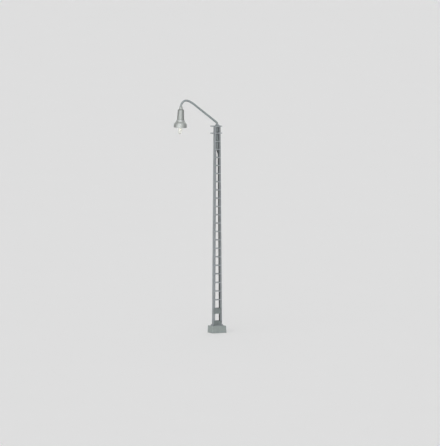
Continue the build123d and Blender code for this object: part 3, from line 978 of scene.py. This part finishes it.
class YARDLAMP_OT_bulb(bpy.types.Operator):
    """Build the bulb: glass, bead, coiled filament, cap, insulator and tip"""

    bl_idname = "yard_lamp.bulb"
    bl_label = "Bulb"

    def execute(self, context):
        settings = context.scene.yard_lamp
        origin, up = lamp_frame()
        brass = bpy.data.materials["turned_brass_contacts"]

        places, low, high = turned_ends("bulb_glass")
        wide = widest_radius(places)
        neck = radius_at(places, high)
        wall = 0.15
        shoulder = max(height for radius, height in places if radius > wide - 0.01)
        throat = min(height for radius, height in places if abs(radius - neck) < 0.01 and height > shoulder)
        centre = low + wide
        nose_end = -86  # degrees; the arcs of the nose stop just short of the axis
        outside = [
            (0.0, low), *arc((0, centre), wide, nose_end, 0, 16), (wide, shoulder),
            *bell((wide, shoulder), (neck, throat)), (neck, high),
        ]
        inside = [
            (neck - wall, high), *bell((neck - wall, throat), (wide - wall, shoulder)),
            *arc((0, centre), wide - wall, 0, nose_end, 16), (0.0, low + wall),
        ]
        bm = bmesh.new()
        lathe(bm, outside + inside, origin, up, 64)
        bmesh.ops.dissolve_degenerate(bm, dist=0.0002, edges=bm.edges)
        clear = bulb_glass(settings.colours)
        finish_piece(bm, "glass_envelope", [clear], "bulb", ["bulb_glass"])

        beads = bead_glass()
        for node, name, material, slot, edge in (
            ("bulb_bead", "stem_bead", beads, "bead_glass", 0.1),
            ("bulb_cap", "push_cap", brass, "contact_brass", 0.08),
            ("bulb_insulator", "cap_insulator", beads, "bead_glass", 0.05),
            ("bulb_tip", "solder_tip", brass, "contact_brass", 0.05),
        ):
            copied(node, name, material, edge * MM, "bulb")
        self.build_filament(origin, up)
        return {"FINISHED"}

    def build_filament(self, origin, up):
        """Two nickel posts with a small coil hung between them."""
        places, low, high = turned_ends("bulb_filament")
        across = Vector((0, 1, 0))
        side = across.cross(up)
        post = 0.06  # radius of a post
        spread = widest_radius(places) - post
        bm = bmesh.new()
        for end in (-1, 1):
            outline = [(0.0, low), (post, low + 0.05), (post, high), (0.0, high)]
            lathe(bm, outline, origin + side * spread * end, up, 12)

        turns, steps_a_turn, facets = 7, 14, 6
        coil_radius, wire_radius = 0.14, 0.035
        coil_share = 0.98  # how much of the way out to each post the coil fills
        coil_lift = 0.2  # from the posts' lower ends up to the coil's axis
        centre = origin + up * (low + coil_lift)
        rings = []
        for step in range(turns * steps_a_turn + 1):
            share = step / (turns * steps_a_turn)
            angle = 2 * math.pi * turns * share
            out = up * math.cos(angle) + across * math.sin(angle)
            middle = centre + side * (spread * (2 * share - 1) * coil_share) + out * coil_radius
            rings.append([
                bm.verts.new(middle + (out * math.cos(a) + side * math.sin(a)) * wire_radius)
                for a in (2 * math.pi * k / facets for k in range(facets))
            ])
        glow_slot = 1
        for first, second in zip(rings, rings[1:]):
            join_rings(bm, first, second, glow_slot)
        for ring in (rings[0], rings[-1]):
            bm.faces.new(ring).material_index = glow_slot
        metals = [nickel_wire(), filament_glow()]
        finish_piece(bm, "filament_coil", metals, "bulb", ["bulb_filament"])


class YARDLAMP_OT_leads(bpy.types.Operator):
    """Build the two insulated leads that run up the right channel and through the tube"""

    bl_idname = "yard_lamp.leads"
    bl_label = "Leads"

    def execute(self, context):
        drift = context.scene.yard_lamp.sizes.lead_drift / MM
        insulation = lead_insulation()
        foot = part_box("mast_foot_plate")[1].z / MM
        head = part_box("arm_tube")[0].z / MM - 5  # under the bends that take the leads into the tube
        stations = 90  # rings of vertices cut into a lead's straight run
        wander, sway = 0.15, 0.12  # share of the drift, and millimetres along Y
        for which, drift_share, seed in (("a", 1.0, 3.0), ("b", 1.9, 11.0)):
            bm = welded_mesh(f"lead_wire_{which}")
            for step in range(1, stations):
                level = foot + (head - foot) * step / stations
                bmesh.ops.bisect_plane(
                    bm, geom=bm.verts[:] + bm.edges[:] + bm.faces[:], dist=TURNED_WELD,
                    plane_co=(0, 0, level), plane_no=(0, 0, 1),
                )
            for vertex in bm.verts:
                share = (vertex.co.z - foot) / (head - foot)
                if vertex.co.x > 0 and 0 < share < 1:
                    swing = math.sin(math.pi * share) ** 2
                    uneven = noise.noise(Vector((seed, 0, vertex.co.z / 11)))
                    vertex.co.x += drift * drift_share * swing * (1 + wander * uneven)
                    vertex.co.y += sway * swing * noise.noise(Vector((0, seed, vertex.co.z / 9)))
            name = f"insulated_lead_{which}"
            finish_piece(bm, name, [insulation], "mast", [f"lead_wire_{which}"])
        return {"FINISHED"}


def direction(azimuth, elevation):
    """The way out from the mast at this azimuth and elevation; azimuth 0 is along -Y."""
    level = math.cos(elevation)
    return Vector((math.sin(azimuth) * level, -math.cos(azimuth) * level, math.sin(elevation)))


def face_away(thing, back):
    """Turn a lamp or camera so that back points out behind it."""
    thing.rotation_mode = "QUATERNION"
    thing.rotation_quaternion = back.to_track_quat("Z", "Y")


class YARDLAMP_OT_stage(bpy.types.Operator):
    """Lay the pale floor, light the studio and set up the camera"""

    bl_idname = "yard_lamp.stage"
    bl_label = "Studio"

    def execute(self, context):
        settings = context.scene.yard_lamp
        self.lay_floor(settings.colours.backdrop)
        self.light_world(context.scene, settings.colours.backdrop)
        self.add_sun("key", azimuth=-50, elevation=14, strength=2.9, softness=95)
        self.add_sun("fill", azimuth=40, elevation=50, strength=0.3, softness=60)
        self.add_sun("back", azimuth=150, elevation=25, strength=1.3, softness=90)
        sheen = self.add_sun("sheen", azimuth=-8, elevation=4, strength=1.6, softness=95)
        sheen.visible_diffuse = False  # it only draws the highlight on metal and paint
        self.place_camera(context.scene, settings.view)
        context.scene.view_settings.view_transform = "Standard"
        return {"FINISHED"}

    def lay_floor(self, colour):
        """A wide matt floor of seamless paper, just under the foundation."""
        bm = bmesh.new()
        bmesh.ops.create_grid(bm, x_segments=8, y_segments=8, size=FLOOR_HALF)
        mesh = bpy.data.meshes.new("floor")
        bm.to_mesh(mesh)
        bm.free()
        floor = bpy.data.objects.new("floor", mesh)
        floor.location.z = -FLOOR_GAP
        mesh.materials.append(paper_floor(colour))
        bpy.context.scene.collection.objects.link(floor)

    def light_world(self, scene, colour):
        """Soft light from all round; the eye, mirrors and glass see the plain backdrop."""
        world = bpy.data.worlds.new("studio")
        scene.world = world
        world.use_nodes = True
        tree = world.node_tree
        tree.nodes.clear()
        soft = add_node(tree, "ShaderNodeBackground", {"Color": linear("#FFFFFF"), "Strength": SOFT_WORLD})
        backdrop = add_node(tree, "ShaderNodeBackground", {"Color": colour, "Strength": 1.0})
        mix = add_node(
            tree, "ShaderNodeMixShader", None,
            {0: seen_directly(tree), 1: soft.outputs["Background"], 2: backdrop.outputs["Background"]},
        )
        add_node(tree, "ShaderNodeOutputWorld", links={"Surface": mix.outputs["Shader"]})

    def add_sun(self, name, azimuth, elevation, strength, softness):
        """A broad, even light from azimuth and elevation in degrees."""
        light = bpy.data.lights.new(name, "SUN")
        light.energy = strength
        light.angle = math.radians(softness)
        lamp = bpy.data.objects.new(name, light)
        face_away(lamp, direction(math.radians(azimuth), math.radians(elevation)))
        bpy.context.scene.collection.objects.link(lamp)
        return lamp

    def place_camera(self, scene, view):
        """A long lens at the chosen azimuth and elevation, aimed beside the mast."""
        back = direction(view.azimuth, view.elevation)
        right = Vector((math.cos(view.azimuth), math.sin(view.azimuth), 0))
        data = bpy.data.cameras.new("camera")
        data.lens = data.sensor_width * view.distance / view.view_height
        camera = bpy.data.objects.new("camera", data)
        face_away(camera, back)
        camera.location = right * view.aim_right + Vector((0, 0, view.aim_height)) + back * view.distance
        scene.collection.objects.link(camera)
        scene.camera = camera


class YARDLAMP_PT_panel(bpy.types.Panel):
    """The yard lamp's pieces and settings"""

    bl_idname = "YARDLAMP_PT_panel"
    bl_label = "Yard lamp"
    bl_space_type = "VIEW_3D"
    bl_region_type = "UI"
    bl_category = "Yard lamp"

    def draw(self, context):
        settings = context.scene.yard_lamp
        for group in (settings.sizes, settings.colours, settings.view):
            for name in group.__annotations__:
                self.layout.prop(group, name)
        for operator in OPERATORS:
            self.layout.operator(operator.bl_idname)


OPERATORS = (
    YARDLAMP_OT_stage,
    YARDLAMP_OT_foundation,
    YARDLAMP_OT_mast,
    YARDLAMP_OT_mast_head,
    YARDLAMP_OT_arm,
    YARDLAMP_OT_lamp_head,
    YARDLAMP_OT_holder,
    YARDLAMP_OT_bulb,
    YARDLAMP_OT_leads,
)
CLASSES = (
    YardLampSizes, YardLampColours, YardLampView, YardLampSettings, *OPERATORS, YARDLAMP_PT_panel
)


def register():
    for each in CLASSES:
        bpy.utils.register_class(each)
    bpy.types.Scene.yard_lamp = bpy.props.PointerProperty(type=YardLampSettings)


def unregister():
    del bpy.types.Scene.yard_lamp
    for each in reversed(CLASSES):
        bpy.utils.unregister_class(each)


def main():
    register()
    for operator in OPERATORS:
        group, name = operator.bl_idname.split(".")
        getattr(getattr(bpy.ops, group), name)()


if __name__ == "__main__":
    main()
